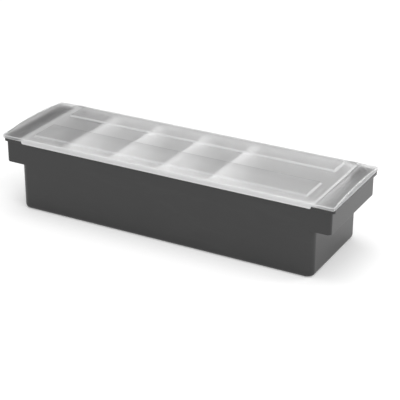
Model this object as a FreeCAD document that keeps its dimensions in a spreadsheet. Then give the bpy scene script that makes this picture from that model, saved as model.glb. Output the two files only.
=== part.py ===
import FreeCAD, Part
import math
import os
import Sketcher

# Bar condiment holder: a moulded tub with hand shelves at its ends, a row of pale inserts that hang by
# their rims, and one frosted lid that turns on two short pins at the back.
# Millimetres and degrees. The origin is the centre of the base on the table, +X runs along the length,
# -Y is the front and +Z is up.

SIZES = [
    # Tub
    ("tub_length", 446.5, "outside length of the tub between its end walls"),
    ("tub_width", 143.1, "outside width of the tub and of its hand boxes"),
    ("tub_height", 101.8, "top of the rim above the table"),
    ("tub_wall", 2.5, "thickness of the walls and the floor"),
    ("shelf_height", 66.8, "underside of the hand boxes above the table"),
    ("shelf_reach", 23.0, "how far the hand boxes stand out past the end walls"),
    ("body_corner", 10.0, "radius of the upright corners of the tub"),
    ("box_corner", 4.0, "radius of the upright corners of the hand boxes"),
    ("base_radius", 6.0, "radius round the bottom edge"),
    ("rim_thickness", 4.6, "height of the rim"),
    ("rim_end_overhang", 4.0, "how far the rim stands out past the hand boxes"),
    ("rim_side_overhang", 0.8, "how far the rim stands out past the long walls"),
    ("rim_corner", 4.5, "corner radius of the rim"),
    # Inserts
    ("insert_overhang", 2.8, "how far the row of inserts reaches past the end walls at each end"),
    ("insert_gap", 0.6, "gap between neighbouring insert rims"),
    ("insert_seat", 2.2, "width of the insert rims that lies on the tub's rim"),
    ("insert_side_clearance", 3.0, "room between the inserts and the long walls at the top"),
    ("insert_rim", 3.6, "width of the insert rims across the row"),
    ("insert_rim_thickness", 1.8, "thickness of the insert rims"),
    ("insert_floor_room", 15.3, "room for ice between the inserts and the tub's floor"),
    ("insert_wall", 1.6, "thickness of the insert walls"),
    ("insert_draft", 2.5, "lean of the insert walls, degrees"),
    ("insert_corner", 10.0, "radius of the upright corners of the inserts"),
    ("insert_bevel", 5.0, "bevel round the bottom of the inserts"),
    ("insert_rim_corner", 4.0, "corner radius of the insert rims"),
    # Lid
    ("lid_wall", 1.6, "thickness of the lid"),
    ("lid_rest_gap", 0.3, "room between the closed lid and the rim"),
    ("lid_side_gap", 0.3, "room between the lid's skirts and the rim"),
    ("lid_row_gap", 0.4, "room between the lid and the ends of the row of inserts"),
    ("lid_edge", 4.5, "height of the lid's edge at its corners"),
    ("lid_corner", 3.0, "radius of the lid's upright corners"),
    ("canopy_height", 4.8, "height of the lid's flat middle above its resting edge"),
    ("canopy_edge_radius", 1.2, "radius along the front and back edges of the lid's flat middle"),
    ("arch_rise", 4.8, "height of the arched ends above the corners"),
    ("arch_start_rise", 0.4, "height of the arch at the middle of the end strips"),
    ("panel_end_margin", 17.5, "distance of the raised panels from the ends of the lid's flat middle"),
    ("panel_rise", 3.0, "height of the raised panels"),
    ("panel_slope", 45.0, "slope of the panels' sides, degrees"),
    ("panel_corner", 4.0, "corner radius of the raised panels"),
    ("front_margin", 13.2, "distance of the front panel from the lid's front edge"),
    ("back_margin", 9.2, "distance of the back panel from the lid's back edge"),
    ("back_panel_width", 38.0, "width of the back panel"),
    ("valley_width", 38.0, "width of the flat valley between the two panels"),
    ("skirt_end_margin", 6.5, "distance of the front skirt from the ends of the lid's flat middle"),
    ("skirt_drop", 3.6, "how far the front skirt hangs below the lid's resting edge"),
    ("skirt_corner", 2.4, "radius at the ends of the front skirt"),
    # Hinge
    ("hinge_inset", 8.25, "distance of the middle of each ear from the tub's end wall"),
    ("hinge_drop", 3.8, "depth of the hinge axis below the top of the rim"),
    ("hinge_radius", 3.2, "outside radius of the ears and knuckles"),
    ("hinge_wall_gap", 0.4, "room between the ears and the back wall"),
    ("hinge_heel", 1.9, "how far the square heel of the ears lies behind the axis"),
    ("ear_length", 10.0, "length of the lid's ears along the axis"),
    ("ear_gap", 0.3, "room at each end of an ear"),
    ("knuckle_length", 8.0, "length of the tub's knuckles along the axis"),
    ("pin_radius", 1.5, "radius of the hinge pins"),
    ("pin_clearance", 0.05, "room round a pin in its ear"),
]

# The inserts from left to right, with the modules of the row that each one takes
INSERTS = [("insert_1", 1), ("insert_2", 1), ("insert_3", 1), ("insert_4", 1), ("insert_large", 2)]
ROW_MODULES = sum(modules for name, modules in INSERTS)

# Sketch numbers: the points of a line or an arc, and the axis whose start is the sketch's origin
START, END, CENTRE = range(1, 4)
ORIGIN = -START


def size(name):
    """Expression for one driving size."""
    return "<<Sizes>>." + name


def add(*terms):
    return "(" + " + ".join(terms) + ")"


def less(first, *rest):
    return "(" + " - ".join((first,) + rest) + ")"


def half(term):
    return f"({term} / 2)"


def twice(term):
    return f"(2 * {term})"


def minus(term):
    return f"(-1 * {term})"


def lean(height, angle):
    """How far a wall leans out over a height."""
    return f"({height} * tan({angle}))"


# Sizes that follow from the driving ones

RIM_UNDERSIDE = less(size("tub_height"), size("rim_thickness"))
BOX_LENGTH = add(size("tub_length"), twice(size("shelf_reach")))
RIM_LENGTH = add(BOX_LENGTH, twice(size("rim_end_overhang")))
RIM_WIDTH = add(size("tub_width"), twice(size("rim_side_overhang")))
INNER_LENGTH = less(size("tub_length"), twice(size("tub_wall")))
INNER_WIDTH = less(size("tub_width"), twice(size("tub_wall")))

ROW_LENGTH = add(INNER_LENGTH, twice(size("insert_overhang")))
MODULE = f"({ROW_LENGTH} / {ROW_MODULES})"
INSERT_DEPTH = less(size("tub_height"), size("tub_wall"), size("insert_floor_room"))

LID_LENGTH = RIM_LENGTH
LID_WIDTH = add(RIM_WIDTH, twice(size("lid_side_gap")), twice(size("lid_wall")))
LID_SEAT = add(size("tub_height"), size("lid_rest_gap"))
LID_TOP = add(LID_SEAT, size("canopy_height"))
LID_UNDERSIDE = less(LID_TOP, size("lid_wall"))
CANOPY_LENGTH = add(ROW_LENGTH, twice(size("lid_row_gap")), twice(size("lid_wall")))

PANEL_LENGTH = less(CANOPY_LENGTH, twice(size("panel_end_margin")))
PANEL_ROOM = less(LID_WIDTH, size("front_margin"), size("back_margin"))
FRONT_PANEL_WIDTH = less(PANEL_ROOM, size("valley_width"), size("back_panel_width"))

HINGE_Z = less(size("tub_height"), size("hinge_drop"))
HINGE_Y = add(half(size("tub_width")), size("hinge_wall_gap"), size("hinge_radius"))
EAR_PLACE = less(half(size("tub_length")), size("hinge_inset"))
PIN_LENGTH = add(size("ear_length"), twice(size("ear_gap")), twice(size("knuckle_length")))


# Sketches

def value(sketch, expression):
    result = sketch.evalExpression(expression)
    return float(getattr(result, "Value", result))


def sketch_on(body, role, name, across="0", along="0", offset="0"):
    """A sketch on one of the body's origin planes, moved within that plane and off it."""
    plane = next(item for item in body.Origin.OriginFeatures if item.Role == role)
    sketch = body.newObject("Sketcher::SketchObject", name)
    sketch.AttachmentSupport = [(plane, "")]
    sketch.MapMode = "FlatFace"
    for axis, expression in zip("xyz", (across, along, offset)):
        sketch.setExpression("AttachmentOffset.Base." + axis, expression)
    return sketch


def bind(sketch, kind, *where, to):
    """Adds a dimension and ties it to an expression."""
    number = sketch.addConstraint(Sketcher.Constraint(kind, *where, value(sketch, to)))
    sketch.setExpression(f"Constraints[{number}]", to)


def draw_outline(sketch, corners, closing_arc=None):
    """A closed outline. Each corner is a pair of expressions.

    The last edge is straight, or a counter-clockwise arc given by a point it passes through and the
    dimension that places its centre.
    """
    places = [FreeCAD.Vector(value(sketch, x), value(sketch, y), 0) for x, y in corners]
    shapes = [Part.LineSegment(first, second) for first, second in zip(places, places[1:])]
    if closing_arc is None:
        shapes.append(Part.LineSegment(places[-1], places[0]))
    else:
        (x, y), centre_kind, centre_place = closing_arc
        through = FreeCAD.Vector(value(sketch, x), value(sketch, y), 0)
        shapes.append(Part.Arc(places[-1], through, places[0]))
    edges = [sketch.addGeometry(shape, False) for shape in shapes]
    for edge, following in zip(edges, edges[1:] + edges[:1]):
        sketch.addConstraint(Sketcher.Constraint("Coincident", edge, END, following, START))
    for edge, (x, y) in zip(edges, corners):
        bind(sketch, "DistanceX", ORIGIN, START, edge, START, to=x)
        bind(sketch, "DistanceY", ORIGIN, START, edge, START, to=y)
    if closing_arc is not None:
        bind(sketch, centre_kind, ORIGIN, START, edges[-1], CENTRE, to=centre_place)


def draw_box(sketch, left, right, low, high):
    draw_outline(sketch, [(left, low), (right, low), (right, high), (left, high)])


def draw_rounded(sketch, length, width, radius):
    """A rectangle with rounded corners round the sketch's origin."""
    across = value(sketch, length) / 2
    along = value(sketch, width) / 2
    bend = value(sketch, radius)
    quarter = math.pi / 2
    arcs = []
    for turn, (side_x, side_y) in enumerate([(1, -1), (1, 1), (-1, 1), (-1, -1)], start=-1):
        middle = FreeCAD.Vector(side_x * (across - bend), side_y * (along - bend), 0)
        circle = Part.Circle(middle, FreeCAD.Vector(0, 0, 1), bend)
        arc = Part.ArcOfCircle(circle, turn * quarter, (turn + 1) * quarter)
        arcs.append(sketch.addGeometry(arc, False))
    lines = []
    for number, arc in enumerate(arcs):
        following = arcs[(number + 1) % len(arcs)]
        segment = Part.LineSegment(sketch.getPoint(arc, END), sketch.getPoint(following, START))
        line = sketch.addGeometry(segment, False)
        sketch.addConstraint(Sketcher.Constraint("Tangent", arc, END, line, START))
        sketch.addConstraint(Sketcher.Constraint("Tangent", line, END, following, START))
        direction = "Horizontal" if number % 2 else "Vertical"
        sketch.addConstraint(Sketcher.Constraint(direction, line))
        lines.append(line)
    for arc in arcs[1:]:
        sketch.addConstraint(Sketcher.Constraint("Equal", arcs[0], arc))
    sketch.addConstraint(Sketcher.Constraint("Symmetric", arcs[0], CENTRE, arcs[2], CENTRE, ORIGIN, START))
    bind(sketch, "DistanceX", lines[2], START, lines[0], START, to=length)
    bind(sketch, "DistanceY", lines[3], START, lines[1], START, to=width)
    bind(sketch, "Radius", arcs[0], to=radius)


def draw_circle(sketch, radius):
    circle = Part.Circle(FreeCAD.Vector(0, 0, 0), FreeCAD.Vector(0, 0, 1), value(sketch, radius))
    number = sketch.addGeometry(circle, False)
    sketch.addConstraint(Sketcher.Constraint("Coincident", number, CENTRE, ORIGIN, START))
    bind(sketch, "Radius", number, to=radius)


def draw_arch(sketch, half_width, low, high, rise):
    """A strip with a straight bottom and sides and a top that arches between its corners."""
    crest = add(high, rise)
    radius = f"(({half_width} ^ 2 + {rise} ^ 2) / (2 * {rise}))"
    corners = [(minus(half_width), high), (minus(half_width), low), (half_width, low), (half_width, high)]
    draw_outline(sketch, corners, (("0", crest), "DistanceY", less(crest, radius)))


# Features

def extrude(body, kind, name, sketch, length, middle=False, backwards=False):
    """A Pad along the sketch's normal or a Pocket against it, or the other way if backwards."""
    feature = body.newObject("PartDesign::" + kind, name)
    feature.Profile = sketch
    feature.Midplane = middle
    feature.Reversed = backwards
    feature.setExpression("Length", length)
    return feature


def loft(body, kind, name, sketches, ruled=True):
    """A loft through sketches, straight from each to the next if ruled."""
    feature = body.newObject("PartDesign::" + kind, name)
    feature.Profile = sketches[0]
    feature.Sections = [(sketch, "") for sketch in sketches[1:]]
    feature.Ruled = ruled
    return feature


def edges_where(feature, test):
    """Names of a feature's edges whose box passes a test."""
    feature.Document.recompute()
    names = []
    for number, edge in enumerate(feature.Shape.Edges, start=1):
        if test(edge.BoundBox):
            names.append(f"Edge{number}")
    return names


def round_edges(body, name, base, edges, radius):
    feature = body.newObject("PartDesign::Fillet", name)
    feature.Base = (base, edges)
    feature.setExpression("Radius", radius)
    return feature


def near(first, second):
    return abs(first - second) < 1e-4


# Sub-parts

def make_tub(doc):
    body = doc.addObject("PartDesign::Body", "tub")
    shelf = size("shelf_height")
    top = size("tub_height")
    wall = size("tub_wall")
    shelf_top = add(shelf, wall)

    def section(label, length, corner, height, inset):
        """An outline of the tub at a height, inside its outer surface by an inset."""
        sketch = sketch_on(body, "XY_Plane", "tub_" + label, offset=height)
        shrink = twice(inset)
        draw_rounded(sketch, less(length, shrink), less(size("tub_width"), shrink), less(corner, inset))
        return sketch

    outline = section("base", size("tub_length"), size("body_corner"), "0", "0")
    lower = extrude(body, "Pad", "tub_body", outline, shelf)
    bottom = edges_where(lower, lambda box: near(box.ZMax, 0))
    round_edges(body, "tub_base_edge", lower, bottom, size("base_radius"))
    outline = section("shelf", BOX_LENGTH, size("box_corner"), shelf, "0")
    extrude(body, "Pad", "hand_boxes", outline, less(top, shelf))
    outline = section("mouth", BOX_LENGTH, size("box_corner"), top, wall)
    extrude(body, "Pocket", "hand_box_inside", outline, less(top, shelf_top))
    outline = section("inside", size("tub_length"), size("body_corner"), shelf_top, wall)
    extrude(body, "Pocket", "tub_inside", outline, less(shelf_top, wall))

    rim = sketch_on(body, "XY_Plane", "rim_outline", offset=RIM_UNDERSIDE)
    draw_rounded(rim, RIM_LENGTH, RIM_WIDTH, size("rim_corner"))
    draw_rounded(rim, less(BOX_LENGTH, wall), less(size("tub_width"), wall), size("box_corner"))
    extrude(body, "Pad", "rim", rim, size("rim_thickness"))

    radius = size("hinge_radius")
    notch_half = add(half(size("ear_length")), size("ear_gap"))
    knuckle_length = size("knuckle_length")
    knuckle_middle = add(notch_half, half(knuckle_length))
    into_wall = minus(add(radius, size("hinge_wall_gap"), half(wall)))
    for side, sign in (("left", "-1"), ("right", "1")):
        ear_middle = f"({sign} * {EAR_PLACE})"
        notch = sketch_on(body, "XY_Plane", "notch_" + side, across=ear_middle, offset=RIM_UNDERSIDE)
        draw_box(notch, minus(notch_half), notch_half, half(size("tub_width")), half(RIM_WIDTH))
        extrude(body, "Pocket", "rim_notch_" + side, notch, size("rim_thickness"), backwards=True)
        for end, turn in (("inner", f"(-1 * {sign})"), ("outer", sign)):
            place = add(ear_middle, f"({turn} * {knuckle_middle})")
            knuckle = sketch_on(body, "YZ_Plane", f"knuckle_{side}_{end}", HINGE_Y, HINGE_Z, place)
            corners = [("0", radius), (into_wall, radius), (into_wall, minus(radius)), ("0", minus(radius))]
            draw_outline(knuckle, corners, ((radius, "0"), "DistanceX", "0"))
            extrude(body, "Pad", f"hinge_knuckle_{side}_{end}", knuckle, knuckle_length, middle=True)
        bore = sketch_on(body, "YZ_Plane", "pin_bore_" + side, HINGE_Y, HINGE_Z, ear_middle)
        draw_circle(bore, size("pin_radius"))
        last = extrude(body, "Pocket", "hinge_bore_" + side, bore, PIN_LENGTH, middle=True)
    body.Tip = last
    return body


def make_insert(doc, name, first_module, modules):
    """An insert that fills some modules of the row, with its rim on the tub's rim."""
    body = doc.addObject("PartDesign::Body", name)
    centre = f"({MODULE} * {first_module + modules / 2} - {half(ROW_LENGTH)})"
    seat = size("tub_height")
    rim_top = add(seat, size("insert_rim_thickness"))
    rim_length = less(f"({MODULE} * {modules})", size("insert_gap"))
    rim_width = add(INNER_WIDTH, twice(size("insert_seat")))
    top_length = less(rim_length, twice(size("insert_rim")))
    top_width = less(INNER_WIDTH, twice(size("insert_side_clearance")))
    wall = size("insert_wall")
    bevel = size("insert_bevel")
    depth = add(INSERT_DEPTH, size("insert_rim_thickness"))

    def tapered(kind, label, depth, inset, bevel):
        """The insert's outside or its hollow: walls that lean in and a bevel round the bottom."""
        straight = less(depth, bevel)
        draw_in = add(inset, lean(straight, size("insert_draft")))
        levels = [("top", "0", inset), ("bend", straight, draw_in), ("bottom", depth, add(draw_in, bevel))]
        sections = []
        for level, drop, shrink in levels:
            height = less(rim_top, drop)
            sketch = sketch_on(body, "XY_Plane", f"{label}_{level}", across=centre, offset=height)
            draw_rounded(sketch, less(top_length, twice(shrink)), less(top_width, twice(shrink)),
                         less(size("insert_corner"), inset))
            sections.append(sketch)
        return loft(body, kind, label, sections)

    tapered("AdditiveLoft", name + "_outside", depth, "0", bevel)
    rim = sketch_on(body, "XY_Plane", name + "_rim_outline", across=centre, offset=seat)
    draw_rounded(rim, rim_length, rim_width, size("insert_rim_corner"))
    extrude(body, "Pad", name + "_rim", rim, size("insert_rim_thickness"))
    inner_bevel = less(bevel, half(wall))
    body.Tip = tapered("SubtractiveLoft", name + "_inside", less(depth, wall), wall, inner_bevel)
    return body


def make_lid(doc):
    body = doc.addObject("PartDesign::Body", "lid")
    wall = size("lid_wall")
    half_width = half(LID_WIDTH)
    inner_half_width = less(half_width, wall)
    canopy_end = half(CANOPY_LENGTH)
    lid_end = half(LID_LENGTH)
    strip_middle = half(add(canopy_end, lid_end))
    canopy_depth = less(LID_UNDERSIDE, LID_SEAT)

    canopy = sketch_on(body, "XY_Plane", "canopy_outline", offset=LID_SEAT)
    draw_box(canopy, minus(canopy_end), canopy_end, minus(half_width), half_width)
    last = extrude(body, "Pad", "canopy", canopy, size("canopy_height"))
    top_level = value(body, LID_TOP)
    long_edges = edges_where(last, lambda box: near(box.ZMin, top_level) and near(box.YLength, 0))
    round_edges(body, "canopy_edge", last, long_edges, size("canopy_edge_radius"))

    end_top = add(LID_SEAT, size("lid_edge"))
    middle_top = half(add(LID_TOP, end_top))

    def strip(kind, label, sign, start, end, end_rise, width, low, sink):
        """A strip between the canopy and one end, nearly flat at first, which curls up to an arch."""
        sketches = []
        for place, x in (("start", start), ("middle", strip_middle), ("end", end)):
            sketches.append(sketch_on(body, "YZ_Plane", f"{label}_{place}", offset=f"({sign} * {x})"))
        draw_box(sketches[0], minus(width), width, low, less(LID_TOP, sink))
        draw_arch(sketches[1], width, low, less(middle_top, sink), size("arch_start_rise"))
        draw_arch(sketches[2], width, low, less(end_top, sink), end_rise)
        return loft(body, kind, label, sketches, ruled=False)

    for side, sign in (("left", "-1"), ("right", "1")):
        last = strip("AdditiveLoft", "strip_" + side, sign, less(canopy_end, wall), lid_end,
                     size("arch_rise"), half_width, LID_SEAT, "0")
    end_place = value(body, lid_end)
    uprights = edges_where(last, lambda box: near(max(box.XMax, -box.XMin), end_place)
                           and near(box.XLength, 0) and near(box.YLength, 0))
    round_edges(body, "lid_corners", last, uprights, size("lid_corner"))

    skirt_bottom = less(LID_SEAT, size("skirt_drop"))
    front_skirt = sketch_on(body, "XY_Plane", "skirt_outline", offset=skirt_bottom)
    skirt_end = less(canopy_end, size("skirt_end_margin"))
    draw_box(front_skirt, minus(skirt_end), skirt_end, minus(half_width), minus(inner_half_width))
    last = extrude(body, "Pad", "front_skirt", front_skirt, add(size("skirt_drop"), canopy_depth))
    skirt_level = value(body, skirt_bottom)
    skirt_corners = edges_where(last, lambda box: near(box.ZMax, skirt_level) and near(box.XLength, 0))
    round_edges(body, "skirt_corners", last, skirt_corners, size("skirt_corner"))

    front_place = add(minus(half_width), size("front_margin"), half(FRONT_PANEL_WIDTH))
    back_place = less(half_width, size("back_margin"), half(size("back_panel_width")))
    panels = [("front_panel", FRONT_PANEL_WIDTH, front_place),
              ("back_panel", size("back_panel_width"), back_place)]

    def raised(kind, label, width, place, base, inset):
        """A raised panel with sloping sides, or the hollow under one."""
        run = f"({size('panel_rise')} / tan({size('panel_slope')}))"
        levels = [("base", base, inset), ("top", add(base, size("panel_rise")), add(inset, run))]
        sections = []
        for level, height, shrink in levels:
            sketch = sketch_on(body, "XY_Plane", f"{label}_{level}", along=place, offset=height)
            draw_rounded(sketch, less(PANEL_LENGTH, twice(shrink)), less(width, twice(shrink)),
                         less(size("panel_corner"), inset))
            sections.append(sketch)
        return loft(body, kind, label, sections)

    for label, width, place in panels:
        raised("AdditiveLoft", label, width, place, LID_TOP, "0")

    recess = sketch_on(body, "XY_Plane", "recess_outline", offset=LID_SEAT)
    inner_end = less(canopy_end, wall)
    draw_box(recess, minus(inner_end), inner_end, minus(inner_half_width), inner_half_width)
    extrude(body, "Pocket", "canopy_hollow", recess, canopy_depth, backwards=True)
    panel_inset = f"({wall} * tan({size('panel_slope')} / 2))"
    for label, width, place in panels:
        raised("SubtractiveLoft", label + "_hollow", width, place, LID_UNDERSIDE, panel_inset)

    mean_slope = f"(({size('arch_rise')} - {size('arch_start_rise')}) / ({lid_end} - {strip_middle}))"
    hollow_rise = less(size("arch_rise"), twice(f"({mean_slope} * {wall})"))
    for side, sign in (("left", "-1"), ("right", "1")):
        strip("SubtractiveLoft", "strip_hollow_" + side, sign, canopy_end, less(lid_end, wall),
              hollow_rise, inner_half_width, less(LID_SEAT, wall), wall)

    radius = size("hinge_radius")
    heel = size("hinge_heel")
    root = less(half_width, half(wall), HINGE_Y)
    seat = less(LID_SEAT, HINGE_Z)
    top = less(LID_TOP, half(wall), HINGE_Z)
    for side, sign in (("left", "-1"), ("right", "1")):
        ear_middle = f"({sign} * {EAR_PLACE})"
        ear = sketch_on(body, "YZ_Plane", "ear_outline_" + side, HINGE_Y, HINGE_Z, ear_middle)
        corners = [("0", minus(radius)), (heel, minus(radius)), (heel, top)]
        corners += [(root, top), (root, seat), ("0", radius)]
        draw_outline(ear, corners, ((minus(radius), "0"), "DistanceX", "0"))
        extrude(body, "Pad", "hinge_ear_" + side, ear, size("ear_length"), middle=True)
        bore = sketch_on(body, "YZ_Plane", "ear_bore_" + side, HINGE_Y, HINGE_Z, ear_middle)
        draw_circle(bore, add(size("pin_radius"), size("pin_clearance")))
        last = extrude(body, "Pocket", "hinge_ear_bore_" + side, bore, size("ear_length"), middle=True)
    body.Tip = last
    return body


def make_pin(doc, name, sign):
    body = doc.addObject("PartDesign::Body", name)
    ear_middle = f"({sign} * {EAR_PLACE})"
    section = sketch_on(body, "YZ_Plane", name + "_section", HINGE_Y, HINGE_Z, ear_middle)
    draw_circle(section, size("pin_radius"))
    body.Tip = extrude(body, "Pad", name + "_shaft", section, PIN_LENGTH, middle=True)
    return body


doc = FreeCAD.newDocument("bar_condiment_holder")
sheet = doc.addObject("Spreadsheet::Sheet", "Sizes")
for row, (alias, number, note) in enumerate(SIZES, start=1):
    sheet.set(f"A{row}", alias)
    sheet.set(f"B{row}", str(number))
    sheet.setAlias(f"B{row}", alias)
    sheet.set(f"C{row}", note)
doc.recompute()

sub_parts = [make_tub(doc)]
first_module = 0
for name, modules in INSERTS:
    sub_parts.append(make_insert(doc, name, first_module, modules))
    first_module += modules
sub_parts.append(make_lid(doc))
sub_parts.append(make_pin(doc, "hinge_pin_left", "-1"))
sub_parts.append(make_pin(doc, "hinge_pin_right", "1"))
doc.recompute()

for item in doc.Objects:
    if "Invalid" in item.State or "Error" in item.State:
        raise RuntimeError(f"{item.Label} failed: {item.State}")
for item in sub_parts:
    if item.Shape.isNull() or not item.Shape.isValid():
        raise RuntimeError(f"{item.Label} has no valid shape")

os.makedirs("parts", exist_ok=True)
for item in sub_parts:
    item.Shape.exportStep(f"parts/{item.Label}.step")
    print(item.Label, len(item.Shape.Solids), round(item.Shape.Volume), item.Shape.BoundBox)
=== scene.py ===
import math

import bmesh
import bpy
from mathutils import Euler, Matrix, Vector


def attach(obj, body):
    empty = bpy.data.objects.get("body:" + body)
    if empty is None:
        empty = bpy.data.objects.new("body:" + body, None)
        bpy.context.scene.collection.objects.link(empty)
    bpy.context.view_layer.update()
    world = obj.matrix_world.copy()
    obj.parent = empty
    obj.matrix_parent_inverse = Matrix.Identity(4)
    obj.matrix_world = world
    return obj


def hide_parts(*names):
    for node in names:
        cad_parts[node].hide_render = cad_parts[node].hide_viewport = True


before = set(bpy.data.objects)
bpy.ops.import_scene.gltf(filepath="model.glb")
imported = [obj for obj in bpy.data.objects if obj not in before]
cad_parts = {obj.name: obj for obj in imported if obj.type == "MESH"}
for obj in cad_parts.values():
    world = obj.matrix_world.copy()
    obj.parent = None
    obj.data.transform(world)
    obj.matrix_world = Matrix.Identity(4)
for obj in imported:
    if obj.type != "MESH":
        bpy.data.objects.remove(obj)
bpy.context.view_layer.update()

MM = 0.001

# Sizes in millimetres, as the part's source gives them or works them out

TUB_HALF_WIDTH = 71.55
TUB_WALL = 2.5
BODY_HALF_LENGTH = 223.25
BODY_CORNER = 10.0
BASE_RADIUS = 6.0
SHELF_HEIGHT = 66.8
BOX_HALF_LENGTH = 246.25
BOX_CORNER = 4.0
RIM_HALF_LENGTH = 250.25
RIM_HALF_WIDTH = 72.35
RIM_CORNER = 4.5
RIM_UNDERSIDE = 97.2
RIM_TOP = 101.8

MODULE = 74.517
ROW_HALF_LENGTH = 223.55
INSERT_GAP = 0.6
INSERT_RIM = 3.6
INSERT_RIM_HALF_WIDTH = 71.25
INSERT_RIM_CORNER = 4.0
INSERT_RIM_THICKNESS = 1.8
INSERT_HALF_WIDTH = 66.05
INSERT_CORNER = 10.0
INSERT_WALL = 1.6
INSERT_BOTTOM = 17.8
INSERT_BEVEL = 5.0
INSERT_DRAFT = math.radians(2.5)
# Each insert's name, its first module and how many modules it takes
INSERTS = [("insert_1", 0, 1), ("insert_2", 1, 1), ("insert_3", 2, 1), ("insert_4", 3, 1),
           ("insert_large", 4, 2)]

LID_HALF_LENGTH = 250.25
LID_HALF_WIDTH = 74.25
LID_CORNER = 3.0
LID_WALL = 1.6
LID_SEAT = 102.1
LID_TOP = 106.9
LID_EDGE_RADIUS = 1.2
CANOPY_END = 225.55
STRIP_MIDDLE = 106.75
STRIP_MIDDLE_RISE = 0.4
STRIP_END = 106.6
ARCH_RISE = 4.8
PANEL_HALF_LENGTH = 208.05
PANEL_RISE = 3.0
PANEL_CORNER = 4.0
# The front and the back panel, each by its middle and its half width
PANELS = [(-36.0, 25.05), (46.05, 19.0)]
SKIRT_END = 219.05
SKIRT_BOTTOM = 98.5
SKIRT_CORNER = 2.4

HINGE_Y = 75.15
HINGE_Z = 98.0
HINGE_RADIUS = 3.2
HINGE_HEEL = 1.9
EAR_PLACE = 215.0
EAR_LENGTH = 10.0
EAR_GAP = 0.3
KNUCKLE_LENGTH = 8.0
PIN_RADIUS = 1.5
PIN_CLEARANCE = 0.05

# The flat middles of floors and bottoms, in millimetres

FLAT_CORNER = 2.0
TUB_BOTTOM_INSET = 14.0
TUB_FLOOR_INSET = 12.0
INSERT_FLAT_INSET = 8.0

# How the meshes soften bends and edges, in millimetres

TUB_SHELF_HOLLOW = 1.4
TUB_SHELF_EDGE = 1.2
TUB_RIM_HOLLOW = 0.35
TUB_RIM_LOWER_EDGE = 0.6
TUB_RIM_UPPER_EDGE = 1.0
TUB_MOUTH_EDGE = 0.8
TUB_FLOOR_HOLLOW = 3.0
TUB_BEND_STEPS = 6

INSERT_FOOT_BEND = 1.5
INSERT_WALL_BEND = 3.0
INSERT_RIM_HOLLOW = 0.8
INSERT_RIM_LOWER_EDGE = 0.5
INSERT_RIM_UPPER_EDGE = 0.8
INSERT_MOUTH_EDGE = 1.2

# How wide the panels' slopes are, a little wider than in the source for their round feet and tops
PANEL_RUN = 3.2

HINGE_EDGE = 0.25
HINGE_EDGE_SEGMENTS = 2
HINGE_EDGE_ANGLE = math.radians(50)
BORE_STEPS = 32
HALF_ROUND_STEPS = 20

# The share of the way to the next bend that a bend may take
BEND_LIMIT = 0.49
# Edges that turn more than this stay sharp
SHARP_ANGLE = math.radians(40)
# Points nearer than this, in metres, are one
WELD_DISTANCE = 1e-7

# Where the lid's grid has lines, in millimetres

# Depths inside the lid's outline, for the rounding of its edge
EDGE_LINES = (3.0, 2.4, 1.8, 1.2, 0.9, 0.65, 0.4, 0.2, 0.07, 0.0)
MIDDLE_LINES = (0.0, 60.0, 120.0, 180.0)
PANEL_LINE_MARGIN = 0.5
PANEL_LINE_STEP = 0.4
SKIRT_LINE_STEP = 0.3
CANOPY_LINE_MARGIN = 1.0
CANOPY_LINE_STEP = 0.25
STRIP_LINE_START = 2.0
STRIP_LINE_STOP = 4.0
STRIP_LINE_STEP = 1.5
VALLEY_LINE_MARGIN = 4.0
VALLEY_LINE_STEP = 6.0
LINE_DIGITS = 4
# How far the lines beside a sudden step lie from it
STEP_OFFSET = 0.03
# How near the skirt's end or the front edge a point still counts as on it
SKIRT_MARGIN = 0.02
FRONT_MARGIN = 0.01

# How white the frosted lid looks at its bends and edges, and how far that reaches in millimetres

EDGE_WHITENESS = 0.65
EDGE_REACH = 1.6
SLOPE_WHITENESS = 0.62
BEND_WHITENESS = 0.02
BEND_REACH = 3.0
STRIP_FADE = 4.0
# Levels of the lid's wall from its top edge down: the share of the height, a lift, an inset,
# and the whiteness along the sides and at the ends
WALL_LEVELS = [
    (0.85, 0.0, 0.0, 0.85, 0.5),
    (0.6, 0.0, 0.0, 0.85, 0.2),
    (0.35, 0.0, 0.0, 0.9, 0.2),
    (0.0, 0.5, 0.0, 0.95, 0.8),
    (0.0, 0.15, 0.15, 0.95, 0.8),
    (0.0, 0.0, 0.5, 0.95, 0.5),
]
WALL_FOOT_WHITENESS = 0.95

# Painted shade: how dark the lid's tint is made along the back and left rims of its panels and
# inside its end walls

PANEL_PAINTED_SHADE = 0.5
PANEL_PAINTED_SHADE_REACH = 2.2
PANEL_PAINTED_SHADE_INSET = 0.2
PANEL_PAINTED_SHADE_MARGIN = 1.0
END_PAINTED_SHADE = 1.0
PAINTED_SHADE_GREY = 0.25

# How the plastics bend light, what shares of it they pass on, and the grain's depth in metres

LID_IOR = 1.2
LID_PASSING = 0.96
WHITE_LID_PASSING = 0.5
INSERT_PASSING = 0.85
INSERT_GLOW = 0.45
GRAIN_DEPTH = 0.0002

# The stage, in metres, watts and degrees

FLOOR_GREY = 0.9
FLOOR_LIFT = 0.25
FLOOR_HALF_SIZE = 6.0
FLOOR_SQUARES = 8
ROOM_LIGHT = 0.56
ROOM_SEEN = 1.0
# Each lamp's name, place, target, width, height and power
LAMPS = [
    ("softbox above", (-0.6, 0.3, 3.85), (0.0, 0.0, 0.05), 3.0, 3.0, 65.0),
    ("softbox front right", (0.95, -0.9, 1.25), (0.2, -0.05, 0.1), 1.7, 1.4, 9.2),
    ("softbox behind right", (1.3, 1.1, 0.6), (0.25, 0.0, 0.08), 1.0, 0.9, 8.0),
]
CAMERA_PLACE = (0.796310, -1.430898, 0.789270)
CAMERA_DOWN = 24.80731
CAMERA_TURN = 28.39797
CAMERA_ROLL = 0.24691
CAMERA_LENS = 117.7496
CAMERA_SENSOR = 36.0
CAMERA_REACH = 20.0


# Meshes

def ease(share):
    """A smooth rise from 0 to 1."""
    share = min(max(share, 0.0), 1.0)
    return share * share * (3.0 - 2.0 * share)


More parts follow.
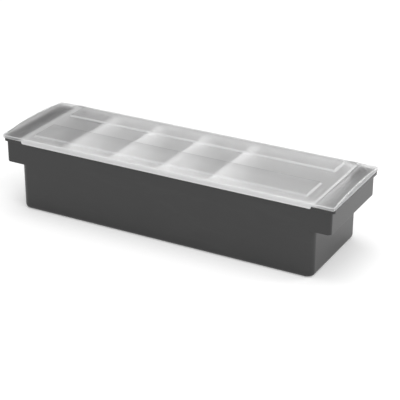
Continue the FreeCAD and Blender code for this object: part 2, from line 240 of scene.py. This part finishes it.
def peak(distance, reach):
    """1 on a line, falling smoothly to 0 at a distance from it."""
    return 1 - ease(abs(distance) / reach)


def place_object(name, data):
    """Puts an object that holds a mesh, a lamp or a lens into the scene."""
    placed = bpy.data.objects.new(name, data)
    bpy.context.scene.collection.objects.link(placed)
    return placed


def mesh_data(name, mesh):
    """Turns a mesh that is being built into the data of an object."""
    data = bpy.data.meshes.new(name)
    mesh.to_mesh(data)
    mesh.free()
    return data


def finish_piece(name, mesh, material, body):
    """Makes a piece of a mesh, with its wide faces shaded flat and its bends smooth."""
    bmesh.ops.remove_doubles(mesh, verts=mesh.verts, dist=WELD_DISTANCE)
    bmesh.ops.recalc_face_normals(mesh, faces=mesh.faces)
    data = mesh_data(name, mesh)
    data.shade_smooth()
    data.set_sharp_from_angle(angle=SHARP_ANGLE)
    data.materials.append(material)
    piece = place_object(name, data)
    shading = piece.modifiers.new("flat_faces", "WEIGHTED_NORMAL")
    shading.keep_sharp = True
    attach(piece, body)
    return piece


def join_loops(mesh, loops):
    """Adds the faces between each closed loop of points and the next one."""
    for loop, following in zip(loops, loops[1:]):
        for number in range(len(loop)):
            mesh.faces.new((loop[number - 1], loop[number],
                            following[number], following[number - 1]))


def outline(half_length, half_width, corner, split=None, steps=10):
    """Points round a rectangle with rounded corners, from the front of its right end.

    A split adds two points to each long side, that far from its middle.
    """
    points = []
    sides = ((1, -1), (1, 1), (-1, 1), (-1, -1))
    for quarter, (side_x, side_y) in enumerate(sides, start=-1):
        for step in range(steps + 1):
            angle = (quarter + step / steps) * math.pi / 2
            x = side_x * (half_length - corner) + corner * math.cos(angle)
            y = side_y * (half_width - corner) + corner * math.sin(angle)
            points.append((x, y))
        # These two quarters end on a long side
        if split is not None and quarter in (0, 2):
            points.append((side_x * split, side_y * half_width))
            points.append((-side_x * split, side_y * half_width))
    return points


def towards(first, second, distance):
    """A level part of the way from one level to another.

    The way is measured by length, width and height, and the corner radius follows along.
    """
    reach = max(abs(first[axis] - second[axis]) for axis in (0, 1, 3))
    share = min(distance / reach, BEND_LIMIT)
    return [a + (b - a) * share for a, b in zip(first, second)]


def soften(path, steps=4):
    """The levels of a wall with each bend rounded by the radius given with it."""
    levels = [path[0][0]]
    for (before, _), (bend, radius), (after, _) in zip(path, path[1:], path[2:]):
        first = towards(bend, before, radius)
        last = towards(bend, after, radius)
        for step in range(steps + 1):
            t = step / steps
            weights = ((1 - t) ** 2, 2 * t * (1 - t), t ** 2)
            levels.append([sum(w * v for w, v in zip(weights, values))
                           for values in zip(first, bend, last)])
    levels.append(path[-1][0])
    return levels


def wall_round(levels, centre=0.0, split=None):
    """A closed wall through levels.

    Each level is a half length, a half width, a corner radius and a height.
    """
    mesh = bmesh.new()
    loops = []
    for half_length, half_width, corner, height in levels:
        points = outline(half_length, half_width, corner, split)
        loops.append([mesh.verts.new(((centre + x) * MM, y * MM, height * MM))
                      for x, y in points])
    join_loops(mesh, loops)
    mesh.faces.new(loops[0])
    mesh.faces.new(loops[-1])
    return mesh


def make_tub(material):
    """The tub as one wall: up its outside, over the rim and down its inside."""
    inner_width = TUB_HALF_WIDTH - TUB_WALL
    inner_length = BODY_HALF_LENGTH - TUB_WALL
    inner_box = BOX_HALF_LENGTH - TUB_WALL
    bottom = (BODY_HALF_LENGTH - TUB_BOTTOM_INSET, TUB_HALF_WIDTH - TUB_BOTTOM_INSET, FLAT_CORNER)
    body = (BODY_HALF_LENGTH, TUB_HALF_WIDTH, BODY_CORNER)
    box = (BOX_HALF_LENGTH, TUB_HALF_WIDTH, BOX_CORNER)
    rim = (RIM_HALF_LENGTH, RIM_HALF_WIDTH, RIM_CORNER)
    mouth = (inner_box, inner_width, BOX_CORNER - TUB_WALL)
    inside = (inner_length, inner_width, BODY_CORNER - TUB_WALL)
    floor = (inner_length - TUB_FLOOR_INSET, inner_width - TUB_FLOOR_INSET, FLAT_CORNER)
    shelf_top = SHELF_HEIGHT + TUB_WALL
    path = [
        ((*bottom, 0.0), 0),
        ((*body, 0.0), BASE_RADIUS),
        ((*body, SHELF_HEIGHT), TUB_SHELF_HOLLOW),
        ((*box, SHELF_HEIGHT), TUB_SHELF_EDGE),
        ((*box, RIM_UNDERSIDE), TUB_RIM_HOLLOW),
        ((*rim, RIM_UNDERSIDE), TUB_RIM_LOWER_EDGE),
        ((*rim, RIM_TOP), TUB_RIM_UPPER_EDGE),
        ((*mouth, RIM_TOP), TUB_MOUTH_EDGE),
        ((*mouth, shelf_top), TUB_SHELF_HOLLOW),
        ((*inside, shelf_top), TUB_SHELF_EDGE),
        ((*inside, TUB_WALL), TUB_FLOOR_HOLLOW),
        ((*floor, TUB_WALL), 0),
    ]
    levels = soften(path, steps=TUB_BEND_STEPS)
    mesh = wall_round(levels, split=BODY_HALF_LENGTH - BODY_CORNER)
    piece = finish_piece("tub_shell", mesh, material, "holder")
    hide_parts("tub")


def make_insert(name, first_module, modules, material):
    """An insert as one wall: up its outside, over the rim and down its inside."""
    centre = MODULE * (first_module + modules / 2) - ROW_HALF_LENGTH
    rim_length = (MODULE * modules - INSERT_GAP) / 2
    rim_top = RIM_TOP + INSERT_RIM_THICKNESS

    def level(height, inset, bevel=0.0):
        """The outside of the cup at a height, or its inside by an inset."""
        shrink = inset + bevel + (rim_top - height) * math.tan(INSERT_DRAFT)
        return (rim_length - INSERT_RIM - shrink, INSERT_HALF_WIDTH - shrink,
                INSERT_CORNER - inset, height)

    rim = (rim_length, INSERT_RIM_HALF_WIDTH, INSERT_RIM_CORNER)
    floor = INSERT_BOTTOM + INSERT_WALL
    inner_bevel = INSERT_BEVEL - INSERT_WALL / 2
    path = [
        (level(INSERT_BOTTOM, 0.0, INSERT_BEVEL + INSERT_FLAT_INSET), 0),
        (level(INSERT_BOTTOM, 0.0, INSERT_BEVEL), INSERT_FOOT_BEND),
        (level(INSERT_BOTTOM + INSERT_BEVEL, 0.0), INSERT_WALL_BEND),
        (level(RIM_TOP, 0.0), INSERT_RIM_HOLLOW),
        ((*rim, RIM_TOP), INSERT_RIM_LOWER_EDGE),
        ((*rim, rim_top), INSERT_RIM_UPPER_EDGE),
        (level(rim_top, INSERT_WALL), INSERT_MOUTH_EDGE),
        (level(floor + inner_bevel, INSERT_WALL), INSERT_WALL_BEND),
        (level(floor, INSERT_WALL, inner_bevel), INSERT_FOOT_BEND),
        (level(floor, INSERT_WALL, inner_bevel + INSERT_FLAT_INSET), 0),
    ]
    mesh = wall_round(soften(path), centre)
    piece = finish_piece(name + "_cup", mesh, material, "holder")
    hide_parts(name)


def inside_by(x, y, half_length, half_width, corner):
    """How far a point lies inside a rectangle with rounded corners."""
    past_x = abs(x) - half_length + corner
    past_y = abs(y) - half_width + corner
    return corner - math.hypot(max(past_x, 0), max(past_y, 0)) - min(max(past_x, past_y), 0)


def panel_depth(x, y):
    """How far a point lies inside the nearer raised panel."""
    return max(inside_by(x, y - place, PANEL_HALF_LENGTH, half_width, PANEL_CORNER)
               for place, half_width in PANELS)


def lid_height(x, y):
    """The top of the lid: panels on a flat middle, and end strips that curl up to arched ends."""
    start = CANOPY_END - LID_WALL
    along = (abs(x) - start) / (LID_HALF_LENGTH - start)
    if along <= 0:
        return LID_TOP + PANEL_RISE * ease(panel_depth(x, y) / PANEL_RUN)
    arch = 1 - (y / LID_HALF_WIDTH) ** 2
    middle = STRIP_MIDDLE + STRIP_MIDDLE_RISE * arch
    end = STRIP_END + ARCH_RISE * arch
    # The parabola through the strip's start, middle and end
    slope = 4 * middle - 3 * LID_TOP - end
    return LID_TOP + slope * along + 2 * (LID_TOP + end - 2 * middle) * along ** 2


def top_painted_shade(x, y):
    """Painted shade on the lid's top: how much it darkens the tint along the panels' back and left
    rims.
    """
    to_back = min(abs(y - place - half_width) for place, half_width in PANELS)
    to_left = abs(x + PANEL_HALF_LENGTH)
    if min(to_back, to_left) > PANEL_CORNER + PANEL_PAINTED_SHADE_MARGIN:
        return 0.0
    return PANEL_PAINTED_SHADE * peak(panel_depth(x, y) - PANEL_RUN - PANEL_PAINTED_SHADE_INSET, PANEL_PAINTED_SHADE_REACH)


def top_whiteness(x, y):
    """How white the plastic looks at a point of the lid's top: more so at bends and edges."""
    edge = peak(inside_by(x, y, LID_HALF_LENGTH, LID_HALF_WIDTH, LID_CORNER), EDGE_REACH)
    slope = peak(panel_depth(x, y) - PANEL_RUN / 2, PANEL_RUN / 2)
    past = abs(x) - CANOPY_END
    bend = peak(past, STRIP_FADE if past > 0 else BEND_REACH)
    return max(EDGE_WHITENESS * edge, SLOPE_WHITENESS * slope, BEND_WHITENESS * bend)


def edge_drop(x, y):
    """How far the rounding of the lid's top edge lowers a point near it."""
    depth = inside_by(x, y, LID_HALF_LENGTH, LID_HALF_WIDTH, LID_CORNER)
    short = max(LID_EDGE_RADIUS - depth, 0)
    return LID_EDGE_RADIUS - math.sqrt(max(LID_EDGE_RADIUS ** 2 - short ** 2, 0))


def lid_bottom(x, y):
    """The bottom of the lid's edge, with the skirt that hangs along the front."""
    past = abs(x) - SKIRT_END
    if y > -LID_HALF_WIDTH + FRONT_MARGIN or past > 0:
        return LID_SEAT
    short = max(past + SKIRT_CORNER, 0)
    return SKIRT_BOTTOM + SKIRT_CORNER - math.sqrt(SKIRT_CORNER ** 2 - short ** 2)


def lid_plan(x, y):
    """Moves a point of the lid's square grid to its rounded corners."""
    past_x = (abs(x) - LID_HALF_LENGTH + LID_CORNER) / LID_CORNER
    past_y = (abs(y) - LID_HALF_WIDTH + LID_CORNER) / LID_CORNER
    if past_x <= 0 or past_y <= 0:
        return x, y
    reach_x = LID_HALF_LENGTH - LID_CORNER * (1 - past_x * math.sqrt(1 - past_y ** 2 / 2))
    reach_y = LID_HALF_WIDTH - LID_CORNER * (1 - past_y * math.sqrt(1 - past_x ** 2 / 2))
    return math.copysign(reach_x, x), math.copysign(reach_y, y)


def steps_between(low, high, step):
    """Even places from low to high, about a step apart."""
    count = max(round((high - low) / step), 1)
    return [low + (high - low) * number / count for number in range(count + 1)]


def lines_along():
    """Where the lid's grid has lines along its length, close together at the bends."""
    panel_bend = PANEL_HALF_LENGTH - PANEL_CORNER - PANEL_LINE_MARGIN
    rib = [CANOPY_END - LID_WALL + shift
           for shift in (-STEP_OFFSET, STEP_OFFSET, LID_WALL - STEP_OFFSET, LID_WALL + STEP_OFFSET)]
    half = list(MIDDLE_LINES)
    half += steps_between(panel_bend, PANEL_HALF_LENGTH + PANEL_LINE_MARGIN, PANEL_LINE_STEP)
    half += steps_between(SKIRT_END - SKIRT_CORNER, SKIRT_END, SKIRT_LINE_STEP)
    half.append(SKIRT_END + STEP_OFFSET)
    half += steps_between(CANOPY_END - CANOPY_LINE_MARGIN, CANOPY_END + CANOPY_LINE_MARGIN,
                          CANOPY_LINE_STEP)
    half += [place * LID_HALF_LENGTH / (LID_HALF_LENGTH - LID_WALL) for place in rib]
    half += steps_between(CANOPY_END + STRIP_LINE_START, LID_HALF_LENGTH - STRIP_LINE_STOP,
                          STRIP_LINE_STEP)
    half += [LID_HALF_LENGTH - depth for depth in EDGE_LINES]
    return sorted(set(round(sign * x, LINE_DIGITS) for x in half for sign in (-1, 1)))


def lines_across():
    """Where the lid's grid has lines across its width, close together at the bends."""
    lines = []
    for depth in EDGE_LINES:
        lines += [-LID_HALF_WIDTH + depth, LID_HALF_WIDTH - depth]
    for place, half_width in PANELS:
        for side in (-1, 1):
            outer = place + side * (half_width + PANEL_LINE_MARGIN)
            inner = place + side * (half_width - PANEL_CORNER - PANEL_LINE_MARGIN)
            lines += steps_between(min(outer, inner), max(outer, inner), PANEL_LINE_STEP)
        lines.append(place)
    (front, front_half), (back, back_half) = PANELS
    lines += steps_between(front + front_half + VALLEY_LINE_MARGIN,
                           back - back_half - VALLEY_LINE_MARGIN, VALLEY_LINE_STEP)
    return sorted(set(round(y, LINE_DIGITS) for y in lines))


def grid_border(last_x, last_y):
    """The places along a grid's border, once round it."""
    front = [(i, 0) for i in range(last_x)]
    right = [(last_x, j) for j in range(last_y)]
    back = [(i, last_y) for i in range(last_x, 0, -1)]
    left = [(0, j) for j in range(last_y, 0, -1)]
    return front + right + back + left


def make_lid(material):
    """The lid as one shell: its top, its underside and the wall round them.

    Its slopes, edges and walls are seen through more plastic, so they look whiter. The back and
    left rims of its panels and the inside of its end walls carry painted shade.
    """
    along, across = lines_along(), lines_across()
    last_x, last_y = len(along) - 1, len(across) - 1
    mesh = bmesh.new()
    whiteness = mesh.verts.layers.float.new("whiteness")
    # Painted shade: a darker tint of the lid's plastic, put where the lid looks shaded
    painted_shade = mesh.verts.layers.float.new("painted_shade")
    shrink_x = 1 - LID_WALL / LID_HALF_LENGTH
    shrink_y = 1 - LID_WALL / LID_HALF_WIDTH

    def point(x, y, z, white):
        vert = mesh.verts.new((x * MM, y * MM, z * MM))
        vert[whiteness] = white
        return vert

    top = []
    underside = []
    for grid_x in along:
        top_line = []
        under_line = []
        for grid_y in across:
            x, y = lid_plan(grid_x, grid_y)
            level = lid_height(x, y)
            top_line.append(point(x, y, level - edge_drop(x, y), top_whiteness(x, y)))
            # Painted shade along the panels' back and left rims
            top_line[-1][painted_shade] = top_painted_shade(x, y)
            in_rib = CANOPY_END - LID_WALL < abs(x) * shrink_x < CANOPY_END
            under_level = LID_SEAT if in_rib else level - LID_WALL
            under_line.append(point(x * shrink_x, y * shrink_y, under_level, 0.0))
        top.append(top_line)
        underside.append(under_line)
    for grid in (top, underside):
        for line, following in zip(grid, grid[1:]):
            for number in range(1, len(line)):
                mesh.faces.new((line[number - 1], line[number],
                                following[number], following[number - 1]))

    border = grid_border(last_x, last_y)
    loops = [[top[i][j] for i, j in border]]
    for share, lift, inset, side_white, end_white in WALL_LEVELS:
        loop = []
        for i, j in border:
            bottom = lid_bottom(along[i], across[j])
            outer = Vector(top[i][j].co)
            place = outer.lerp(underside[i][j].co, inset / LID_WALL)
            height = bottom + lift + share * (outer.z / MM - bottom - lift)
            white = end_white if abs(along[i]) > SKIRT_END + SKIRT_MARGIN else side_white
            loop.append(point(place.x / MM, place.y / MM, height, white))
        loops.append(loop)
    foot = []
    for i, j in border:
        inner = underside[i][j].co
        white = 0.0 if abs(along[i]) > SKIRT_END + SKIRT_MARGIN else WALL_FOOT_WHITENESS
        bottom = lid_bottom(along[i], across[j])
        foot.append(point(inner.x / MM, inner.y / MM, bottom, white))
        # Painted shade inside the end walls darkens what is seen through them
        if i in (0, last_x):
            foot[-1][painted_shade] = END_PAINTED_SHADE
            underside[i][j][painted_shade] = END_PAINTED_SHADE
    loops += [foot, [underside[i][j] for i, j in border]]
    join_loops(mesh, loops)
    piece = finish_piece("lid_shell", mesh, material, "lid")
    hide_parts("lid")


def make_hinge_piece(name, profile, bore, middle, length, material, body):
    """A short length of a hinge profile with a bore for the pin."""
    mesh = bmesh.new()
    edges = []
    turns = [2 * math.pi * step / BORE_STEPS for step in range(BORE_STEPS)]
    circle = [(bore * math.cos(turn), bore * math.sin(turn)) for turn in turns]
    start = middle - length / 2
    for points in (profile, circle):
        corners = [mesh.verts.new((start * MM, (HINGE_Y + y) * MM, (HINGE_Z + z) * MM))
                   for y, z in points]
        edges += [mesh.edges.new((corners[n - 1], corners[n])) for n in range(len(corners))]
    bmesh.ops.triangle_fill(mesh, use_beauty=True, edges=edges)
    swept = bmesh.ops.extrude_face_region(mesh, geom=mesh.faces[:])
    moved = [item for item in swept["geom"] if isinstance(item, bmesh.types.BMVert)]
    bmesh.ops.translate(mesh, verts=moved, vec=(length * MM, 0, 0))
    piece = finish_piece(name, mesh, material, body)
    bevel = piece.modifiers.new("soft_edges", "BEVEL")
    bevel.width = HINGE_EDGE * MM
    bevel.segments = HINGE_EDGE_SEGMENTS
    bevel.limit_method = "ANGLE"
    bevel.angle_limit = HINGE_EDGE_ANGLE
    # The bevel comes before the shading of flat faces
    piece.modifiers.move(1, 0)
    return piece


def half_round(side):
    """The round back of a hinge profile for a side of 1, its front for -1, from top to bottom."""
    turns = [math.pi / 2 - side * math.pi * step / HALF_ROUND_STEPS
             for step in range(HALF_ROUND_STEPS + 1)]
    return [(HINGE_RADIUS * math.cos(turn), HINGE_RADIUS * math.sin(turn)) for turn in turns]


def make_hinge(tub_material, lid_material):
    """At each end of the back, an ear of the lid between two knuckles of the tub."""
    into_wall = TUB_HALF_WIDTH - TUB_WALL / 2 - HINGE_Y
    knuckle = half_round(1) + [(into_wall, -HINGE_RADIUS), (into_wall, HINGE_RADIUS)]
    root = LID_HALF_WIDTH - LID_WALL / 2 - HINGE_Y
    top = LID_TOP - LID_WALL / 2 - HINGE_Z
    ear = half_round(-1) + [(HINGE_HEEL, -HINGE_RADIUS), (HINGE_HEEL, top)]
    ear += [(root, top), (root, LID_SEAT - HINGE_Z)]
    step = EAR_LENGTH / 2 + EAR_GAP + KNUCKLE_LENGTH / 2
    for side, sign in (("left", -1), ("right", 1)):
        middle = sign * EAR_PLACE
        piece = make_hinge_piece("lid_ear_" + side, ear, PIN_RADIUS + PIN_CLEARANCE, middle,
                                 EAR_LENGTH, lid_material, "lid")
        whiteness = piece.data.attributes.new("whiteness", "FLOAT", "POINT")
        for corner in whiteness.data:
            corner.value = WALL_FOOT_WHITENESS
        for end, turn in (("inner", -sign), ("outer", sign)):
            make_hinge_piece(f"tub_knuckle_{side}_{end}", knuckle, PIN_RADIUS,
                             middle + turn * step, KNUCKLE_LENGTH, tub_material,
                             "holder")


# Materials

def fill(tree, socket, given):
    """Links a socket to another one, or sets its value."""
    if isinstance(given, bpy.types.NodeSocket):
        tree.links.new(given, socket)
    else:
        socket.default_value = given


def add_node(tree, kind, settings=None, **inputs):
    """Adds a node, sets its options, and fills or links the named inputs."""
    node = tree.nodes.new(kind)
    for option, choice in (settings or {}).items():
        setattr(node, option, choice)
    for label, given in inputs.items():
        fill(tree, node.inputs[label.replace("_", " ")], given)
    return node


def combined(tree, operation, first, second):
    """One number made of two."""
    node = add_node(tree, "ShaderNodeMath", {"operation": operation})
    fill(tree, node.inputs[0], first)
    fill(tree, node.inputs[1], second)
    return node.outputs["Value"]


def spread(tree, mask, low, high):
    """A number between two values, by a mask."""
    node = add_node(tree, "ShaderNodeMapRange", Value=mask, To_Min=low, To_Max=high)
    return node.outputs["Result"]


def grey(level):
    return (level, level, level, 1.0)


def colour_between(tree, mask, low, high):
    """A colour between two others, by a mask."""
    mix = add_node(tree, "ShaderNodeMix", {"data_type": "RGBA"})
    # The node has sockets for numbers and vectors before those for colours
    factor, first, second = mix.inputs[0], mix.inputs[6], mix.inputs[7]
    fill(tree, factor, mask)
    fill(tree, first, low)
    fill(tree, second, high)
    return mix.outputs[2]


def bumped(tree, height, strength, distance):
    """A normal that follows a fine height."""
    bump = add_node(tree, "ShaderNodeBump", Height=height, Strength=strength, Distance=distance)
    return bump.outputs["Normal"]


def mixed(tree, share, first, second):
    """A mix of two shaders, of the second by a share."""
    mix = add_node(tree, "ShaderNodeMixShader", Fac=share)
    tree.links.new(first.outputs[0], mix.inputs[1])
    tree.links.new(second.outputs[0], mix.inputs[2])
    return mix


def new_group(name, inputs, outputs):
    """A shader node group with number inputs, each with its usual value, and number outputs."""
    group = bpy.data.node_groups.new(name, "ShaderNodeTree")
    for label, usual in inputs:
        socket = group.interface.new_socket(label, in_out="INPUT", socket_type="NodeSocketFloat")
        socket.default_value = usual
    for label in outputs:
        group.interface.new_socket(label, in_out="OUTPUT", socket_type="NodeSocketFloat")
    return group, group.nodes.new("NodeGroupInput"), group.nodes.new("NodeGroupOutput")


def moulded_grain_group():
    """The fine pebbled skin of moulded plastic, and the slow drift of tone across it."""
    group, given, result = new_group(
        "Moulded grain", [("Grain Size", 900.0), ("Drift Size", 18.0)],
        ["Height", "Tone", "Drift"])
    place = add_node(group, "ShaderNodeTexCoord").outputs["Object"]
    grain = add_node(group, "ShaderNodeTexNoise", Vector=place, Scale=given.outputs["Grain Size"],
                     Detail=2.0, Roughness=0.55)
    pits = add_node(group, "ShaderNodeTexVoronoi", {"feature": "SMOOTH_F1"}, Vector=place,
                    Scale=given.outputs["Grain Size"], Smoothness=0.8)
    both = combined(group, "ADD", grain.outputs["Fac"], pits.outputs["Distance"])
    drift = add_node(group, "ShaderNodeTexNoise", Vector=place, Scale=given.outputs["Drift Size"],
                     Detail=3.0, Roughness=0.5)
    group.links.new(both, result.inputs["Height"])
    group.links.new(grain.outputs["Fac"], result.inputs["Tone"])
    group.links.new(drift.outputs["Fac"], result.inputs["Drift"])
    return group


def handling_marks_group():
    """Faint rubbed streaks along the length, strongest where the noise peaks."""
    group, given, result = new_group(
        "Handling marks", [("Size", 30.0), ("Amount", 0.5)], ["Mask"])
    place = add_node(group, "ShaderNodeTexCoord").outputs["Object"]
    stretch = add_node(group, "ShaderNodeMapping", Vector=place, Scale=(0.35, 1.0, 1.6))
    streaks = add_node(group, "ShaderNodeTexNoise", Vector=stretch.outputs["Vector"],
                       Scale=given.outputs["Size"], Detail=6.0, Roughness=0.7, Distortion=0.6)
    peaks = add_node(group, "ShaderNodeMapRange", Value=streaks.outputs["Fac"],
                     From_Min=0.52, From_Max=0.78)
    mask = combined(group, "MULTIPLY", peaks.outputs["Result"], given.outputs["Amount"])
    group.links.new(mask, result.inputs["Mask"])
    return group


def place_group(tree, group, **inputs):
    return add_node(tree, "ShaderNodeGroup", {"node_tree": group}, **inputs)


def new_material(name):
    """A material with an empty node tree, and the tree's output."""
    material = bpy.data.materials.new(name)
    material.use_nodes = True
    tree = material.node_tree
    tree.nodes.clear()
    return material, tree, tree.nodes.new("ShaderNodeOutputMaterial")


def moulded_skin(tree, groups, grain_size, drift_size, mark_size, mark_amount,
                 greys, worn_grey, roughness, bump):
    """The colour, roughness and normal of moulded plastic with its grain and marks of use."""
    grain_group, marks_group = groups
    grain = place_group(tree, grain_group, Grain_Size=grain_size, Drift_Size=drift_size)
    marks = place_group(tree, marks_group, Size=mark_size, Amount=mark_amount)
    dark, pale = greys
    tone = colour_between(tree, grain.outputs["Drift"], grey(dark), grey(pale))
    colour = colour_between(tree, marks.outputs["Mask"], tone, grey(worn_grey))
    smooth, rough = roughness
    return (colour, spread(tree, grain.outputs["Tone"], smooth, rough),
            bumped(tree, grain.outputs["Height"], bump, GRAIN_DEPTH))


def tub_plastic(groups):
    material, tree, output = new_material("black satin plastic")
    colour, rough, fine = moulded_skin(
        tree, groups, grain_size=1100.0, drift_size=14.0, mark_size=34.0, mark_amount=0.5,
        greys=(0.021, 0.028), worn_grey=0.036, roughness=(0.28, 0.38), bump=0.12)
    shader = add_node(tree, "ShaderNodeBsdfPrincipled", Base_Color=colour, Roughness=rough,
                      IOR=1.5, Normal=fine)
    tree.links.new(shader.outputs["BSDF"], output.inputs["Surface"])
    return material


def insert_plastic(name, groups, greys, worn_grey):
    """Milky plastic that glows where light falls on its other side, and passes some of it on."""
    material, tree, output = new_material(name)
    colour, rough, fine = moulded_skin(
        tree, groups, grain_size=800.0, drift_size=20.0, mark_size=40.0, mark_amount=0.4,
        greys=greys, worn_grey=worn_grey, roughness=(0.62, 0.78), bump=0.08)
    surface = add_node(tree, "ShaderNodeBsdfPrincipled", Base_Color=colour, Roughness=rough,
                       IOR=1.49, Normal=fine)
    glow = add_node(tree, "ShaderNodeBsdfTranslucent", Color=colour, Normal=fine)
    body = mixed(tree, INSERT_GLOW, surface, glow)
    clear = add_node(tree, "ShaderNodeBsdfTransparent", Color=grey(INSERT_PASSING))
    passing = add_node(tree, "ShaderNodeLightPath").outputs["Is Shadow Ray"]
    both = mixed(tree, passing, body, clear)
    tree.links.new(both.outputs[0], output.inputs["Surface"])
    return material


def lid_plastic(groups):
    """Frosted plastic, whiter at its edges, with painted shade darkening its tint where the mesh
    carries it.

    Light passes on to what lies under it, and what is seen through it blurs.
    """
    material, tree, output = new_material("frosted lid plastic")
    colour, rough, fine = moulded_skin(
        tree, groups, grain_size=1000.0, drift_size=16.0, mark_size=26.0, mark_amount=0.5,
        greys=(0.94, 0.97), worn_grey=0.92, roughness=(0.39, 0.49), bump=0.1)
    # The painted shade darkens the plastic's tint
    painted_shade = add_node(tree, "ShaderNodeAttribute", {"attribute_name": "painted_shade"}).outputs["Fac"]
    tint_with_painted_shade = colour_between(tree, painted_shade, colour, grey(PAINTED_SHADE_GREY))
    frosted = add_node(tree, "ShaderNodeBsdfPrincipled", Base_Color=tint_with_painted_shade, Roughness=rough,
                       IOR=LID_IOR, Transmission_Weight=1.0, Normal=fine)
    edge = add_node(tree, "ShaderNodeBsdfPrincipled", Base_Color=tint_with_painted_shade, Roughness=rough,
                    IOR=LID_IOR, Transmission_Weight=0.2, Normal=fine)
    white = add_node(tree, "ShaderNodeAttribute", {"attribute_name": "whiteness"}).outputs["Fac"]
    body = mixed(tree, white, frosted, edge)
    dimming = colour_between(tree, white, grey(LID_PASSING), grey(WHITE_LID_PASSING))
    clear = add_node(tree, "ShaderNodeBsdfTransparent", Color=dimming)
    path = add_node(tree, "ShaderNodeLightPath")
    passing = combined(tree, "MAXIMUM", path.outputs["Is Shadow Ray"],
                       path.outputs["Is Diffuse Ray"])
    both = mixed(tree, passing, body, clear)
    tree.links.new(both.outputs[0], output.inputs["Surface"])
    return material


def pin_steel(grain_group):
    material, tree, output = new_material("drawn steel")
    grain = place_group(tree, grain_group, Grain_Size=2400.0, Drift_Size=120.0)
    tone = colour_between(tree, grain.outputs["Drift"], low=grey(0.50), high=grey(0.62))
    rough = spread(tree, grain.outputs["Tone"], low=0.22, high=0.38)
    fine = bumped(tree, grain.outputs["Height"], strength=0.05, distance=0.0001)
    shader = add_node(tree, "ShaderNodeBsdfPrincipled", Base_Color=tone, Roughness=rough,
                      Metallic=1.0, Normal=fine)
    tree.links.new(shader.outputs["BSDF"], output.inputs["Surface"])
    return material


# Stage

def seen_ray(tree):
    """1 for rays that show the stage: straight to the camera, mirrored or through plastic."""
    path = add_node(tree, "ShaderNodeLightPath")
    direct = combined(tree, "MAXIMUM", path.outputs["Is Camera Ray"],
                      path.outputs["Is Glossy Ray"])
    return combined(tree, "MAXIMUM", direct, path.outputs["Is Transmission Ray"])


def make_floor():
    """A pale floor that looks lighter than the light on it makes it."""
    material, tree, output = new_material("pale studio floor")
    diffuse = add_node(tree, "ShaderNodeBsdfDiffuse", Color=grey(FLOOR_GREY))
    lift = combined(tree, "MULTIPLY", seen_ray(tree), FLOOR_LIFT)
    glow = add_node(tree, "ShaderNodeEmission", Strength=lift)
    both = tree.nodes.new("ShaderNodeAddShader")
    tree.links.new(diffuse.outputs["BSDF"], both.inputs[0])
    tree.links.new(glow.outputs["Emission"], both.inputs[1])
    tree.links.new(both.outputs["Shader"], output.inputs["Surface"])
    mesh = bmesh.new()
    bmesh.ops.create_grid(mesh, x_segments=FLOOR_SQUARES, y_segments=FLOOR_SQUARES,
                          size=FLOOR_HALF_SIZE)
    data = mesh_data("floor", mesh)
    data.materials.append(material)
    floor = place_object("floor", data)


def make_world():
    """A white room that looks brighter than the light it gives."""
    world = bpy.data.worlds.new("white room")
    bpy.context.scene.world = world
    world.use_nodes = True
    tree = world.node_tree
    tree.nodes.clear()
    output = tree.nodes.new("ShaderNodeOutputWorld")
    level = spread(tree, seen_ray(tree), ROOM_LIGHT, ROOM_SEEN)
    room = add_node(tree, "ShaderNodeBackground", Strength=level)
    tree.links.new(room.outputs["Background"], output.inputs["Surface"])


def make_light(name, place, target, width, height, power):
    lamp = bpy.data.lights.new(name, "AREA")
    lamp.shape = "RECTANGLE"
    lamp.size = width
    lamp.size_y = height
    lamp.energy = power
    light = place_object(name, lamp)
    light.location = place
    aim = Vector(target) - Vector(place)
    light.rotation_euler = aim.to_track_quat("-Z", "Y").to_euler()


def make_camera():
    lens = bpy.data.cameras.new("camera")
    lens.lens = CAMERA_LENS
    lens.sensor_width = CAMERA_SENSOR
    lens.clip_end = CAMERA_REACH
    camera = place_object("camera", lens)
    turn = Euler((math.radians(90 - CAMERA_DOWN), 0, math.radians(CAMERA_TURN)))
    roll = Matrix.Rotation(math.radians(CAMERA_ROLL), 4, "Z")
    camera.matrix_world = Matrix.Translation(CAMERA_PLACE) @ turn.to_matrix().to_4x4() @ roll
    bpy.context.scene.camera = camera


bpy.context.scene.view_settings.view_transform = "Standard"
grain_group = moulded_grain_group()
plastic_groups = (grain_group, handling_marks_group())
tub_material = tub_plastic(plastic_groups)
insert_material = insert_plastic(
    "milky insert plastic", plastic_groups, greys=(0.92, 0.96), worn_grey=0.90)
# A darker copy of the insert plastic: its lower greys are painted shade for the compartment at the
# left end, which looks dimmer than the others
shaded_end_insert_material = insert_plastic(
    "insert plastic with painted shade", plastic_groups, greys=(0.76, 0.80), worn_grey=0.74)
lid_material = lid_plastic(plastic_groups)
pin_material = pin_steel(grain_group)

make_tub(tub_material)
for name, first_module, modules in INSERTS:
    # The first insert takes the copy with painted shade
    material = shaded_end_insert_material if first_module == 0 else insert_material
    make_insert(name, first_module, modules, material)
make_lid(lid_material)
make_hinge(tub_material, lid_material)
for name in ("hinge_pin_left", "hinge_pin_right"):
    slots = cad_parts[name].data.materials
    slots.clear()
    slots.append(pin_material)

make_floor()
make_world()
for lamp in LAMPS:
    make_light(*lamp)
make_camera()
